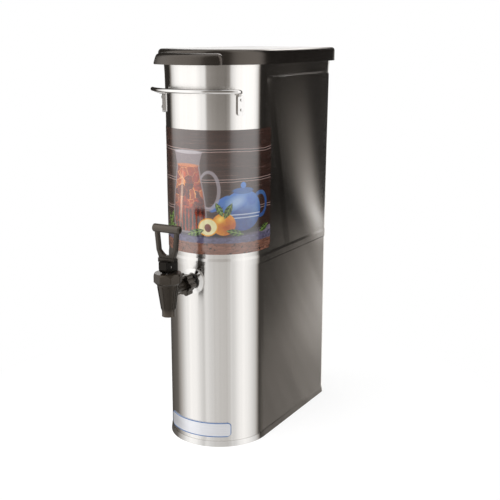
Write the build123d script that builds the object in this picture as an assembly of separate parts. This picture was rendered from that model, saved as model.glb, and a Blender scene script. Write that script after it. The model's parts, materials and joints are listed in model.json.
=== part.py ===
from build123d import *
import math
import os

# Iced tea dispenser: a tall, narrow stainless vessel with a lever tap, a lift-off lid and a
# wire handle. Millimetres, +Z up, the counter at z = 0 and the tap towards -Y.
# The pieces are modelled about the front curve's axis, which stands at x = 0, y = 0, and are
# moved at the end so that the origin is the centre of the whole object's footprint.

# Body seen from above: a half round front, flat sides and rounded rear corners
body_half_width = 72.0
body_rear = 215.5
rear_corner_radius = 18.0
sheet = 1.0
lap_gap = 0.05

# Base
band_height = 8.0
band_top_proud = 0.8
band_foot_proud = 1.7
foot_flange_width = 12.0
foot_flange_thickness = 1.2

# Seam between the upper shell and the skirt
seam_height = 263.0
hem_height = 8.0
joggle_height = 4.0
skirt_top_gap = 0.5

# Upper shell, from the seam to its rim: it widens a little upwards, and flares at its neck
shell_height = 283.0
shell_low_proud = 0.4
shell_high_proud = 2.0
neck_flare_height = 15.0
neck_depth = 12.0
rim_proud = 2.6
bead_proud = 1.4
bead_height = 3.0
bead_rounding = 0.6

# Pressed panel on each side, deepest at its upper ledge, with a long gentle slope along its front
panel_drop = 27.2
panel_front_top = 2.0
panel_front_low = 60.0
panel_rear_inset = 16.0
panel_depth_top = 2.2
panel_depth_low = 0.4
panel_slope_run = 2.6
panel_front_slope_top_run = 11.5
panel_front_slope_low_run = 18.0
panel_corner_radius = 7.0

# Sump: the vessel's lower part, nested in the skirt
sump_depth = 42.0
sump_lap = 14.0
floor_rise = 3.0
floor_fall = 10.0
floor_thickness = 1.2

# Lid
lid_skirt_depth = 12.0
lid_top_thickness = 7.8
lid_plate_thickness = 3.0
lid_skirt_gap = 3.0
lid_wall = 3.0
lid_edge_rounding = 5.5
lid_flange_gap = 0.5
lid_flange_wall = 2.0
lid_flange_depth = 13.0

# Finger grip along the lid's front
grip_half_angle = 35.6
grip_low_reach = 14.0
grip_high_reach = 10.5
grip_top_drop = 4.8
grip_wall = 2.6
grip_rounding = 8.0
grip_end_rounding = 7.0
grip_end_wall = 4.2

# Wire handle and the straps that hold it
wire_diameter = 5.6
bail_reach = 19.5
bail_drop = 45.5
bail_half_angle = 46.5
bail_turn = 80.0
bail_end_depth = 3.0
bail_end_drop = 8.2
strap_angle = 54.0
strap_width = 10.5
strap_length = 26.2
strap_drop = 6.0
strap_depth = 4.2
strap_sheet = 1.3
strap_corner_radius = 3.0
stud_shank_diameter = 3.0
stud_head_diameter = 4.6
stud_head_height = 0.8
stud_inset = 7.4
stud_spacing = 13.0

# Decal and badge
decal_rise = 18.0
decal_height = 168.5
decal_rear = 16.0
decal_thickness = 0.3
decal_corner_radius = 5.0
badge_rise = 6.5
badge_height = 21.5
badge_half_angle = 43.0
badge_thickness = 0.9
badge_adhesive = 0.2
badge_corner_radius = 5.5

# Tap: an upright body whose tail runs back through the skirt and the sump
tap_reach = 60.2
tail_drop = 21.0
tail_radius = 8.0
tail_bore_radius = 4.5
tail_hole_clearance = 0.15
tail_inner_end = 18.0

# Tap body, from the spout up to the neck that the bonnet screws on
spout_length = 8.5
spout_radius = 8.8
spout_bore_radius = 5.5
cone_length = 36.0
cone_low_radius = 9.4
cone_high_radius = 14.8
cone_over_tail = 2.5
neck_radius = 13.8
neck_length = 9.8
chamber_depth = 32.8
chamber_radius = 9.6
rib_count = 10
rib_width = 1.8
rib_proud = 0.6
rib_low_margin = 2.0
rib_high_margin = 3.0

# Bonnet
bonnet_low_radius = 16.2
bonnet_high_radius = 19.0
bonnet_corner_trim = 0.35
bonnet_sides = 8
bonnet_low_chamfer_height = 2.8
bonnet_top_chamfer = 1.5
bonnet_top_chamfer_height = 3.4
bonnet_top_thickness = 4.0
seal_thickness = 0.9
seal_inset = 0.5
seal_gap = 0.1
screw_clearance = 0.08
working_gap = 0.3

# Valve
stem_radius = 3.2
stem_flange_radius = 7.6
stem_flange_thickness = 2.0
cup_radius = 8.0
cup_height = 9.0
cup_floor = 4.0
cup_lift = 0.1
cup_foot_chamfer = 1.2
cup_top_inset = 1.5
flange_gap = 4.0
spring_wire_radius = 0.6
spring_coil_radius = 6.4
spring_turns = 5
spring_end_gap = 0.15

# Tap handle: the pin sits behind the centre of the foot's rolling edge, which lifts the stem
pin_rise = 8.0
pin_radius = 1.5
pin_clearance = 0.05
pin_end_inset = 0.2
cam_offset = 4.5
foot_half_width = 5.9
foot_depth = 27.2
foot_height = 15.7
pocket_reach = 10.4
shoulder_half_width = 12.4
shoulder_half_depth = 5.4
shoulder_height = 5.4
shoulder_corner_radius = 2.0
loop_half_depth = 3.4
loop_waist_rise = 13.0
loop_waist_half_width = 15.6
loop_top_half_width = 18.4
loop_edge_rounding = 1.4
strut_low_width = 5.4
strut_top_width = 5.6
window_floor = 6.4
window_low_half_width = 4.0
window_rounding = 6.0
grip_bar_rise = 50.8
grip_bar_radius = 5.5
grip_bar_half_length = 20.4
grip_bar_rounding = 1.4
grip_recess_radius = 2.4
grip_recess_depth = 1.5

# Jam nut, gaskets, seat ring and lock nut on the tail
nut_core_radius = 12.8
nut_lobe_radius = 3.6
nut_lobe_count = 6
nut_lobe_reach = 15.9
nut_lobed_length = 13.0
nut_cone_end_radius = 9.6
nut_cone_length = 10.5
nut_edge_rounding = 0.8
ring_radius = 17.8
ring_stand_off = 3.6
ring_slope_depth = 2.2
ring_crown_radius = 12.6
ring_recess_depth = 1.0
outer_gasket_radius = 10.6
outer_gasket_thickness = 1.6
inner_gasket_radius = 12.5
inner_gasket_thickness = 1.6
lock_nut_across_flats = 24.0
lock_nut_thickness = 8.0

# Derived sizes and places
rim_height = seam_height + shell_height
neck_high = rim_height - neck_depth
neck_low = neck_high - neck_flare_height
panel_top = rim_height - panel_drop
sump_low = seam_height - sump_depth
lid_low = rim_height - lid_skirt_depth
lid_top = rim_height + lid_top_thickness
lid_skirt_proud = rim_proud + bead_proud + lid_skirt_gap
lid_proud = lid_skirt_proud + lid_wall
lid_front_radius = body_half_width + lid_proud
grip_low_radius = lid_front_radius + grip_low_reach
grip_high_radius = lid_front_radius + grip_high_reach
hem_proud = lap_gap + sheet
hem_top = seam_height + hem_height
sump_proud = -sheet - lap_gap
sump_inner_radius = body_half_width + sump_proud - sheet
bail_radius = body_half_width + bail_reach
bail_end_radius = body_half_width - bail_end_depth
bail_height = rim_height - bail_drop
bail_end_height = bail_height - bail_end_drop
strap_low = bail_height - strap_drop - strap_length
decal_low = seam_height + decal_rise
decal_high = decal_low + decal_height
badge_low = band_height + badge_rise
badge_high = badge_low + badge_height
tail_height = seam_height - tail_drop
tap_y = -body_half_width - tap_reach
ring_face_y = -body_half_width - ring_stand_off
cone_high = tail_height + tail_radius + cone_over_tail
spout_high = cone_high - cone_length
spout_low = spout_high - spout_length
body_top = cone_high + neck_length
chamber_low = body_top - chamber_depth
stem_low = chamber_low + cup_lift + cup_floor
stem_flange_low = chamber_low + cup_lift + cup_height + flange_gap
bonnet_underside = body_top + seal_thickness + seal_gap
bonnet_top = bonnet_underside + bonnet_top_thickness
pin_height = bonnet_top + pin_rise
pocket_half_width = stem_radius + working_gap
grip_bar_height = pin_height + grip_bar_rise
front_extent = tap_y - bonnet_high_radius
rear_extent = body_rear + lid_proud
centre_y = (front_extent + rear_extent) / 2


def plan(proud):
    """The body's outline seen from above, moved outwards by proud."""
    half = body_half_width + proud
    rear = body_rear + proud
    corner = rear_corner_radius + proud
    return make_face([
        ThreePointArc((-half, 0), (0, -half), (half, 0)),
        Line((half, 0), (half, rear - corner)),
        CenterArc((half - corner, rear - corner), corner, 0, 90),
        Line((half - corner, rear), (corner - half, rear)),
        CenterArc((corner - half, rear - corner), corner, 90, 90),
        Line((-half, rear - corner), (-half, 0)),
    ])


def block(proud, low, high):
    """A solid with the body's outline between two heights."""
    return extrude(Pos(0, 0, low) * plan(proud), high - low)


def flare(proud_low, proud_high, low, high):
    """A solid whose outline grows or shrinks evenly between two heights."""
    return loft([Pos(0, 0, low) * plan(proud_low), Pos(0, 0, high) * plan(proud_high)], ruled=True)


def ring(proud, thickness, low, high):
    """A wall that follows the body's outline, with its outer face at proud."""
    return block(proud, low, high) - block(proud - thickness, low, high)


def turned(*points):
    """A solid of revolution about Z from radius and height pairs."""
    outline = Polyline(*[(radius, 0, height) for radius, height in points], close=True)
    return revolve(make_face(outline), Axis.Z)


def around_tap(shape):
    """Moves a shape from the Z axis to the tap's upright axis."""
    return Pos(0, tap_y, 0) * shape


def on_tail(shape, y):
    """Lays a shape from the Z axis along the tail, its foot at y and its top towards the user."""
    return Pos(0, y, tail_height) * Rot(90, 0, 0) * shape


def tail_drilling(radius):
    """A drilling along the tail, through everything between the tap and the sump."""
    return on_tail(Pos(0, 0, tap_reach) * Cylinder(radius, 4 * tap_reach), tap_y / 2)


def lobed_disc(core_radius, lobe_radius, lobe_count, reach, height):
    """A hand nut's outline: a round core with evenly spaced rounded lobes."""
    outline = Circle(core_radius)
    for place in PolarLocations(reach - lobe_radius, lobe_count):
        outline += place * Circle(lobe_radius)
    return extrude(outline, height)


def bar(half_width, front, rear, low, high):
    """A box centred across X, from front to rear and from low to high."""
    return Pos(0, (front + rear) / 2, (low + high) / 2) * Box(2 * half_width, rear - front, high - low)


def wall_proud(height):
    """How far the front wall at a height stands out from the skirt's outline."""
    taper_low = hem_top + joggle_height
    if height < taper_low:
        return 0
    share = (height - taper_low) / (neck_low - taper_low)
    return shell_low_proud + share * (shell_high_proud - shell_low_proud)


def front_round(extra, low, high):
    """A round solid whose side follows the front wall between two heights, moved outwards by extra."""
    return turned(
        (0, low), (body_half_width + wall_proud(low) + extra, low),
        (body_half_width + wall_proud(high) + extra, high), (0, high))


def panel_solid(side, inward):
    """The raised part of a side panel; inward gives the same form on the sheet's inner face."""
    low = hem_top + joggle_height

    def outline(inset, front_inset_low, front_inset_top):
        top = panel_top - inward - inset
        rear = body_rear - panel_rear_inset - inward - inset
        corners = [
            (panel_front_low + inward + front_inset_low, low),
            (panel_front_top + inward + front_inset_top, top),
            (rear, top),
            (rear, low),
        ]
        face = make_face(Polyline(*corners, close=True))
        upper = face.vertices().group_by(Axis.Y)[-1]
        return fillet(upper, panel_corner_radius - inset)

    def leaning(face, depth_low, depth_top):
        """Stands an outline on a plane that leans out with the wall, at one depth below and one above."""
        x_low = body_half_width - inward + wall_proud(low) + depth_low
        x_top = body_half_width - inward + wall_proud(panel_top) + depth_top
        lean = math.degrees(math.atan2(x_top - x_low, panel_top - low))
        flat = Plane(origin=(x_low, 0, 0), x_dir=(0, 1, 0), z_dir=(1, 0, 0)) * face
        return flat.rotate(Axis((x_low, 0, low), (0, 1, 0)), lean)

    foot = leaning(outline(0, 0, 0), -lap_gap, -lap_gap)
    crown_outline = outline(panel_slope_run, panel_front_slope_low_run, panel_front_slope_top_run)
    crown = leaning(crown_outline, panel_depth_low, panel_depth_top)
    backing = extrude(foot, -2 * sheet)
    solid = loft([foot, crown], ruled=True) + backing
    return solid if side > 0 else mirror(solid, Plane.YZ)


def vessel_outside(inward):
    """The upper shell's full outer form, or its inner form at one sheet's thickness inward."""
    taper_low = hem_top + joggle_height
    form = block(hem_proud - inward, seam_height, hem_top)
    form += flare(hem_proud - inward, shell_low_proud - inward, hem_top, taper_low)
    form += flare(shell_low_proud - inward, shell_high_proud - inward, taper_low, neck_low)
    form += flare(shell_high_proud - inward, rim_proud - inward, neck_low, neck_high)
    form += block(rim_proud - inward, neck_high, rim_height)
    for side in (1, -1):
        form += panel_solid(side, inward)
    return form


def vessel_shell():
    """Upper shell: lapped hem, pressed side panels, flared neck and a rolled rim."""
    bead = block(rim_proud + bead_proud, rim_height - bead_height, rim_height)
    outer_edges = bead.edges().group_by(Axis.Z)[-1] + bead.edges().group_by(Axis.Z)[0]
    bead = fillet(outer_edges, bead_rounding)
    return vessel_outside(0) + bead - vessel_outside(sheet)


def sump_wall():
    """Lower wall of the vessel, lapped into the upper shell and nested in the skirt."""
    wall = ring(sump_proud, sheet, sump_low, hem_top + joggle_height + sump_lap)
    return wall - tail_drilling(tail_radius + tail_hole_clearance)


def sump_floor():
    """The vessel's floor, which falls towards the tap."""
    front = -sump_inner_radius
    rear = body_rear + sump_proud - sheet
    slope = floor_fall / (rear - front)
    overrun = rear_corner_radius
    start = sump_low + floor_rise - slope * overrun
    end = sump_low + floor_rise + floor_fall + slope * overrun
    corners = [
        (0, front - overrun, start),
        (0, rear + overrun, end),
        (0, rear + overrun, end + floor_thickness),
        (0, front - overrun, start + floor_thickness),
    ]
    slab = extrude(make_face(Polyline(*corners, close=True)), body_half_width, both=True)
    return slab & block(sump_proud - sheet - lap_gap, sump_low, end + floor_thickness)


def base_skirt():
    """Lower shell, from the foot flange up into the hem of the upper shell."""
    wall = ring(0, sheet, foot_flange_thickness, hem_top - skirt_top_gap)
    return wall - tail_drilling(tail_radius + tail_hole_clearance)


def base_band():
    """The band round the foot and the inward flange that the dispenser stands on."""
    band = flare(band_foot_proud, band_top_proud, 0, band_height)
    band -= block(lap_gap, foot_flange_thickness, band_height)
    return band - block(-foot_flange_width, 0, band_height)


def from_axis(edge):
    """How far an edge's middle lies from the front curve's axis."""
    middle = edge.center()
    return math.hypot(middle.X, middle.Y)


def lid():
    """Black lid: a cap over the rim, a locating flange inside it and the front grip."""
    cap = block(lid_proud, lid_low, lid_top)
    cap = fillet(cap.edges().group_by(Axis.Z)[-1], lid_edge_rounding)
    hood = lid_grip(0, grip_half_angle)
    ends = hood.faces().filter_by(GeomType.PLANE).filter_by(lambda face: abs(face.normal_at().Z) < 0.5)
    outer_edges = ends.edges().filter_by(lambda edge: from_axis(edge) > lid_front_radius)
    hood = fillet(outer_edges, grip_end_rounding)
    wall_angle = math.degrees(grip_end_wall / grip_high_radius)
    hollow = lid_grip(grip_wall, grip_half_angle - wall_angle)
    shell = cap + (hood - hollow)
    shell -= block(lid_skirt_proud, lid_low, rim_height)
    flange_proud = rim_proud - sheet - lid_flange_gap
    flange = ring(flange_proud, lid_flange_wall, rim_height - lid_flange_depth, rim_height)
    recess = block(
        flange_proud - lid_flange_wall, rim_height - lid_flange_depth, lid_top - lid_plate_thickness)
    return shell + flange - recess


def lid_grip(inward, half_angle):
    """The hood of the front grip; inward gives the hollow under it for the fingers."""
    inner = lid_front_radius - lid_wall
    top = lid_top - grip_top_drop - inward
    low = lid_low - inward
    outline = make_face(Polyline(
        (inner, 0, low),
        (grip_low_radius - inward, 0, low),
        (grip_high_radius - inward, 0, top),
        (inner, 0, top),
        close=True,
    ))
    shoulder = outline.vertices().sort_by_distance((grip_high_radius - inward, 0, top))[0]
    outline = fillet(shoulder, grip_rounding)
    swept = revolve(outline, Axis.Z, 2 * half_angle)
    return Rot(0, 0, -90 - half_angle) * swept


def at_angle(radius, angle, height):
    """A point at an angle from the front, about the front curve's axis."""
    turn = math.radians(angle)
    return Vector(radius * math.sin(turn), -radius * math.cos(turn), height)


def bail_wire(extra):
    """Bent wire, thicker by extra all round: a level bow whose ends turn in and down to the straps."""
    start = at_angle(bail_radius, bail_half_angle, bail_height)
    turn = math.radians(bail_half_angle)
    along = Vector(math.cos(turn), math.sin(turn), 0)
    end = at_angle(bail_end_radius, strap_angle, bail_end_height)
    to_end = end - start
    forward = to_end.dot(along)
    sideways = (to_end - along * forward)
    aside = sideways.normalized()
    bend = math.radians(bail_turn)
    # the bend's radius and the straight leg's length that end the wire at its strap
    leg = (sideways.length * math.sin(bend) - forward * (1 - math.cos(bend))) / (
        math.sin(bend) ** 2 - math.cos(bend) * (1 - math.cos(bend)))
    radius = (forward - leg * math.cos(bend)) / math.sin(bend)

    def on_bend(angle):
        return start + along * (radius * math.sin(angle)) + aside * (radius * (1 - math.cos(angle)))

    bend_end = on_bend(bend)

    def mirrored(point):
        return Vector(-point.X, point.Y, point.Z)

    path = Wire([
        Line(mirrored(end), mirrored(bend_end)),
        ThreePointArc(mirrored(bend_end), mirrored(on_bend(bend / 2)), mirrored(start)),
        ThreePointArc(mirrored(start), at_angle(bail_radius, 0, bail_height), start),
        ThreePointArc(start, on_bend(bend / 2), bend_end),
        Line(bend_end, end),
    ])
    section = Plane(origin=path @ 0, z_dir=path % 0) * Circle(wire_diameter / 2 + extra)
    return sweep(section, path)


def bail_handle():
    """The wire handle, cut to the wall at both ends."""
    return bail_wire(0) - front_round(lap_gap, strap_low, rim_height)


def radial_plane(angle, height):
    """A plane that faces outwards at an angle from the front, level in its X direction."""
    out = at_angle(1, angle, 0)
    across = Vector(0, 0, 1).cross(out)
    return Plane(origin=(0, 0, height), x_dir=across, z_dir=out)


def curved_plate(inner, outer, angle, low, high, width, corner_radius):
    """A rounded plate bent to the front wall, from inner to outer off it, at an angle from the front."""
    hoop = front_round(outer, low, high) - front_round(inner, low, high)
    face = radial_plane(angle, (low + high) / 2) * RectangleRounded(width, high - low, corner_radius)
    return hoop & extrude(face, 2 * body_half_width)


def stud(extra, angle, height):
    """A weld stud, larger by extra: a shank from the wall through the strap and a domed head."""
    wall = body_half_width + wall_proud(height) + lap_gap
    face = wall + strap_depth
    head = stud_head_diameter / 2 + extra
    shank = stud_shank_diameter / 2 + extra
    solid = turned(
        (0, wall), (shank, wall), (shank, face), (head, face), (head, face + stud_head_height / 2),
        (head / 2, face + stud_head_height), (0, face + stud_head_height))
    return radial_plane(angle, height) * solid


def stud_heights():
    """The heights of a strap's two studs."""
    return strap_low + stud_inset, strap_low + stud_inset + stud_spacing


def strap(side):
    """Pressed stainless strap: a shallow cup with its open back on the wall, notched for the wire."""
    angle = side * strap_angle
    high = strap_low + strap_length
    cup = curved_plate(lap_gap, strap_depth, angle, strap_low, high, strap_width, strap_corner_radius)
    cup -= curved_plate(
        0, strap_depth - strap_sheet, angle, strap_low + strap_sheet, high - strap_sheet,
        strap_width - 2 * strap_sheet, strap_corner_radius - strap_sheet)
    for height in stud_heights():
        cup -= stud(lap_gap, angle, height)
    return cup - bail_wire(lap_gap)


def strap_studs():
    """The weld studs of both straps, as separate solids."""
    return Compound(children=[
        stud(0, side * strap_angle, height) for side in (1, -1) for height in stud_heights()])


def decal_panel():
    """Thin printed panel round the upper front and onto both flat sides."""
    low_wall = wall_proud(decal_low) + lap_gap
    high_wall = wall_proud(decal_high) + lap_gap
    skin = flare(low_wall + decal_thickness, high_wall + decal_thickness, decal_low, decal_high)
    skin -= flare(low_wall, high_wall, decal_low, decal_high)
    front = -2 * body_half_width
    side_view = make_face(Polyline(
        (0, front, decal_low), (0, decal_rear, decal_low),
        (0, decal_rear, decal_high), (0, front, decal_high), close=True))
    rear_corners = side_view.vertices().group_by(Axis.Y)[-1]
    side_view = fillet(rear_corners, decal_corner_radius)
    return skin & extrude(side_view, 2 * body_half_width, both=True)


def badge_plate():
    """Bare name plate at the foot of the front."""
    width = 2 * body_half_width * math.sin(math.radians(badge_half_angle))
    return curved_plate(
        badge_adhesive, badge_adhesive + badge_thickness, 0, badge_low, badge_high, width,
        badge_corner_radius)


def seat_ring():
    """Bright sloping ring that gives the tap a flat seat on the round wall, recessed for its gasket."""
    length = ring_stand_off + body_half_width - tail_radius
    disc = on_tail(turned(
        (0, -length), (ring_radius, -length), (ring_radius, -ring_slope_depth),
        (ring_crown_radius, 0), (0, 0)), ring_face_y)
    recess = on_tail(Pos(0, 0, -ring_recess_depth / 2) * Cylinder(
        outer_gasket_radius, ring_recess_depth), ring_face_y)
    wall = Pos(0, 0, tail_height) * Cylinder(body_half_width + lap_gap, 4 * ring_radius)
    return disc - recess - wall - tail_drilling(tail_radius + tail_hole_clearance)


def washer(radius, thickness):
    """A flat washer that fits the tail."""
    return Pos(0, 0, thickness / 2) * (
        Cylinder(radius, thickness) - Cylinder(tail_radius + lap_gap, thickness))


def outer_gasket():
    """Soft washer in the ring's recess, squeezed by the jam nut."""
    return on_tail(
        washer(outer_gasket_radius - lap_gap, outer_gasket_thickness), ring_face_y + ring_recess_depth)


def inner_gasket():
    """Soft washer between the sump wall and the lock nut, with a saddle-shaped outer face."""
    length = inner_gasket_thickness + body_half_width / 4
    blank = on_tail(washer(inner_gasket_radius, length), lock_nut_face_y())
    bound = Pos(0, 0, tail_height) * Cylinder(sump_inner_radius - lap_gap, 4 * inner_gasket_radius)
    return blank & bound


def lock_nut_face_y():
    """Where the lock nut meets the inner gasket, clear of the curved wall at the nut's corners."""
    corner = lock_nut_across_flats / math.sqrt(3)
    clear = math.sqrt((sump_inner_radius - lap_gap) ** 2 - corner ** 2)
    return -clear + inner_gasket_thickness


def lock_nut():
    """Hexagonal nut on the tail inside the sump."""
    corner = lock_nut_across_flats / math.sqrt(3)
    blank = extrude(RegularPolygon(corner, 6), -lock_nut_thickness)
    bore = Cylinder(tail_radius + screw_clearance, 4 * lock_nut_thickness)
    nut = on_tail(blank - bore, lock_nut_face_y())
    return nut


def jam_nut():
    """Lobed hand nut on the tail outside, with a cone that bears on the outer gasket."""
    foot = ring_face_y + ring_recess_depth - outer_gasket_thickness - working_gap
    lobes = Pos(0, 0, nut_cone_length) * lobed_disc(
        nut_core_radius, nut_lobe_radius, nut_lobe_count, nut_lobe_reach, nut_lobed_length)
    ends = lobes.faces().filter_by(Axis.Z).edges()
    lobes = fillet(ends, nut_edge_rounding)
    cone = turned(
        (0, 0), (nut_cone_end_radius, 0), (nut_core_radius, nut_cone_length), (0, nut_cone_length))
    bore = Cylinder(tail_radius + screw_clearance, 8 * nut_lobed_length)
    return on_tail(lobes + cone - bore, foot)


def cone_radius(height):
    """The tap body's outer radius on its cone."""
    share = (height - spout_high) / (cone_high - spout_high)
    return cone_low_radius + share * (cone_high_radius - cone_low_radius)


def tap_body():
    """Tap body: spout, ribbed cone, threaded neck, and the tail with its bore."""
    outside = turned(
        (0, spout_low), (spout_radius, spout_low), (spout_radius, spout_high),
        (cone_low_radius, spout_high), (cone_high_radius, cone_high),
        (neck_radius, cone_high), (neck_radius, body_top), (0, body_top))
    rib_low = spout_high + rib_low_margin
    rib_high = cone_high - rib_high_margin
    rib_limit = turned(
        (0, rib_low), (cone_radius(rib_low) + rib_proud, rib_low),
        (cone_radius(rib_high) + rib_proud, rib_high), (0, rib_high))
    reach = cone_high_radius + rib_proud
    blade = Pos(reach / 2, 0, (rib_low + rib_high) / 2) * Box(reach, rib_width, rib_high - rib_low)
    for index in range(rib_count):
        outside += Rot(0, 0, (index + 0.5) * 360 / rib_count) * blade & rib_limit
    tail_end = -sump_inner_radius + tail_inner_end
    tail_length = tail_end - tap_y
    along_tail = Pos(0, 0, tail_length / 2)
    solid = around_tap(outside) + on_tail(along_tail * Cylinder(tail_radius, tail_length), tail_end)
    chamber = turned(
        (0, spout_low), (spout_bore_radius, spout_low), (spout_bore_radius, chamber_low),
        (chamber_radius, chamber_low), (chamber_radius, body_top), (0, body_top))
    bore = on_tail(along_tail * Cylinder(tail_bore_radius, tail_length), tail_end)
    return solid - around_tap(chamber) - bore


def bonnet_seal():
    """Seal ring between the neck's top and the bonnet."""
    outside = Cylinder(neck_radius - seal_inset, seal_thickness)
    return around_tap(
        Pos(0, 0, body_top + seal_thickness / 2) * (outside - Cylinder(chamber_radius, seal_thickness)))


def bonnet():
    """Eight-sided collar that screws on the neck and guides the stem."""
    low = cone_high + working_gap
    flats = RegularPolygon(bonnet_high_radius + bonnet_corner_trim, bonnet_sides)
    solid = Pos(0, 0, low) * extrude(flats, bonnet_top - low) & turned(
        (0, low), (bonnet_low_radius, low), (bonnet_high_radius, low + bonnet_low_chamfer_height),
        (bonnet_high_radius, bonnet_top - bonnet_top_chamfer_height),
        (bonnet_high_radius - bonnet_top_chamfer, bonnet_top), (0, bonnet_top))
    socket = turned(
        (0, low), (neck_radius + screw_clearance, low),
        (neck_radius + screw_clearance, bonnet_underside), (0, bonnet_underside))
    guide = turned(
        (0, low), (stem_radius + screw_clearance, low),
        (stem_radius + screw_clearance, bonnet_top), (0, bonnet_top))
    return around_tap(solid - socket - guide)


def valve_stem():
    """Stem: a rod with the spring's seat and an eye for the handle's pin."""
    flange_high = stem_flange_low + stem_flange_thickness
    rod = turned(
        (0, stem_low), (stem_radius, stem_low), (stem_radius, stem_flange_low),
        (stem_flange_radius, stem_flange_low), (stem_flange_radius, flange_high),
        (stem_radius, flange_high), (stem_radius, pin_height), (0, pin_height))
    eye = Pos(0, 0, pin_height) * Rot(0, 90, 0) * Cylinder(stem_radius, 2 * stem_radius)
    hole = Pos(0, 0, pin_height) * Rot(0, 90, 0) * Cylinder(pin_radius + pin_clearance, 4 * stem_radius)
    return around_tap(rod + eye - hole)


def seat_cup():
    """Soft cup on the stem's foot that closes the spout."""
    low = chamber_low + cup_lift
    high = low + cup_height
    outside = turned(
        (0, low), (cup_radius - cup_foot_chamfer, low), (cup_radius, low + cup_foot_chamfer),
        (cup_radius - cup_top_inset, high), (0, high))
    socket = turned(
        (0, stem_low), (stem_radius + lap_gap, stem_low), (stem_radius + lap_gap, high), (0, high))
    return around_tap(outside - socket)


def valve_spring():
    """Return spring between the stem's flange and the bonnet: one unbroken round wire."""
    low = stem_flange_low + stem_flange_thickness + spring_wire_radius + spring_end_gap
    high = bonnet_underside - spring_wire_radius - spring_end_gap
    pitch = (high - low) / spring_turns
    helix = Pos(0, 0, low) * Helix(pitch, high - low, spring_coil_radius)
    section = Plane(origin=helix @ 0, z_dir=helix % 0) * Circle(spring_wire_radius)
    print("valve_spring least gap between curls", round(pitch - 2 * spring_wire_radius, 2))
    return around_tap(sweep(section, helix, is_frenet=True))


def handle_pin():
    """Pin through the foot's cheeks and the stem's eye."""
    length = 2 * (foot_half_width - pin_end_inset)
    return around_tap(Pos(0, 0, pin_height) * Rot(0, 90, 0) * Cylinder(pin_radius, length))


def handle_foot(foot_low, foot_top):
    """Foot that straddles the stem, with a rolling edge at its lower front."""
    cam_radius = pin_height - foot_low
    front = -cam_offset - cam_radius
    rear = front + foot_depth
    half_way = cam_radius * math.sqrt(0.5)
    side_view = make_face([
        Line((0, rear, foot_low), (0, rear, foot_top)),
        Line((0, rear, foot_top), (0, front, foot_top)),
        Line((0, front, foot_top), (0, front, pin_height)),
        ThreePointArc(
            (0, front, pin_height), (0, -cam_offset - half_way, pin_height - half_way),
            (0, -cam_offset, foot_low)),
        Line((0, -cam_offset, foot_low), (0, rear, foot_low)),
    ])
    foot = extrude(side_view, foot_half_width, both=True)
    pocket = bar(
        pocket_half_width, -pocket_reach, stem_radius + working_gap, foot_low,
        pin_height + stem_radius + working_gap)
    hole = Pos(0, 0, pin_height) * Rot(0, 90, 0) * Cylinder(pin_radius, 4 * foot_half_width)
    return foot - pocket - hole


def handle_loop(low, high):
    """Open loop between the shoulder and the grip bar."""
    waist = low + loop_waist_rise
    foot_half = shoulder_half_width - loop_edge_rounding
    outline = make_face(Polyline(
        (-foot_half, 0, low), (foot_half, 0, low), (loop_waist_half_width, 0, waist),
        (loop_top_half_width, 0, high), (-loop_top_half_width, 0, high),
        (-loop_waist_half_width, 0, waist), close=True))
    waist_inside = loop_waist_half_width - strut_low_width
    top_inside = loop_top_half_width - strut_top_width
    window = make_face(Polyline(
        (-window_low_half_width, 0, low + window_floor), (window_low_half_width, 0, low + window_floor),
        (waist_inside, 0, waist), (top_inside, 0, high),
        (-top_inside, 0, high), (-waist_inside, 0, waist), close=True))
    window = fillet(window.vertices().group_by(Axis.Z)[0], window_rounding)
    frame = extrude(outline - window, loop_half_depth, both=True)
    long_edges = frame.edges().filter_by(lambda edge: abs(abs(edge.center().Y) - loop_half_depth) < lap_gap)
    return fillet(long_edges, loop_edge_rounding)


def tap_handle():
    """Handle: a slotted foot, a shoulder, an open loop and a grip bar with recessed ends."""
    foot_low = bonnet_top + working_gap
    foot_top = foot_low + foot_height
    shoulder_top = foot_top + shoulder_height - loop_edge_rounding
    shoulder = bar(
        shoulder_half_width, -shoulder_half_depth, shoulder_half_depth, foot_top - loop_edge_rounding,
        shoulder_top)
    shoulder = fillet(shoulder.edges().filter_by(Axis.Z), shoulder_corner_radius)
    grip = Cylinder(grip_bar_radius, 2 * grip_bar_half_length)
    grip = fillet(grip.edges(), grip_bar_rounding)
    for end in (1, -1):
        grip -= Pos(0, 0, end * grip_bar_half_length) * Cylinder(grip_recess_radius, 2 * grip_recess_depth)
    grip = Pos(0, 0, grip_bar_height) * Rot(0, 90, 0) * grip
    loop = handle_loop(shoulder_top - 2 * loop_edge_rounding, grip_bar_height)
    return around_tap(handle_foot(foot_low, foot_top) + shoulder + loop + grip)


def save(name, shape):
    """Writes one piece, moved so that the origin is the middle of the footprint."""
    export_step(Pos(0, -centre_y, 0) * shape, f"parts/{name}.step")


os.makedirs("parts", exist_ok=True)
save("vessel_shell", vessel_shell())
save("sump_wall", sump_wall())
save("sump_floor", sump_floor())
save("base_skirt", base_skirt())
save("base_band", base_band())
save("lid", lid())
save("bail_handle", bail_handle())
save("bail_strap_left", strap(-1))
save("bail_strap_right", strap(1))
save("strap_studs", strap_studs())
save("decal_panel", decal_panel())
save("badge_plate", badge_plate())
save("seat_ring", seat_ring())
save("outer_gasket", outer_gasket())
save("inner_gasket", inner_gasket())
save("lock_nut", lock_nut())
save("jam_nut", jam_nut())
save("tap_body", tap_body())
save("bonnet_seal", bonnet_seal())
save("bonnet", bonnet())
save("valve_stem", valve_stem())
save("seat_cup", seat_cup())
save("valve_spring", valve_spring())
save("handle_pin", handle_pin())
save("tap_handle", tap_handle())
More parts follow.
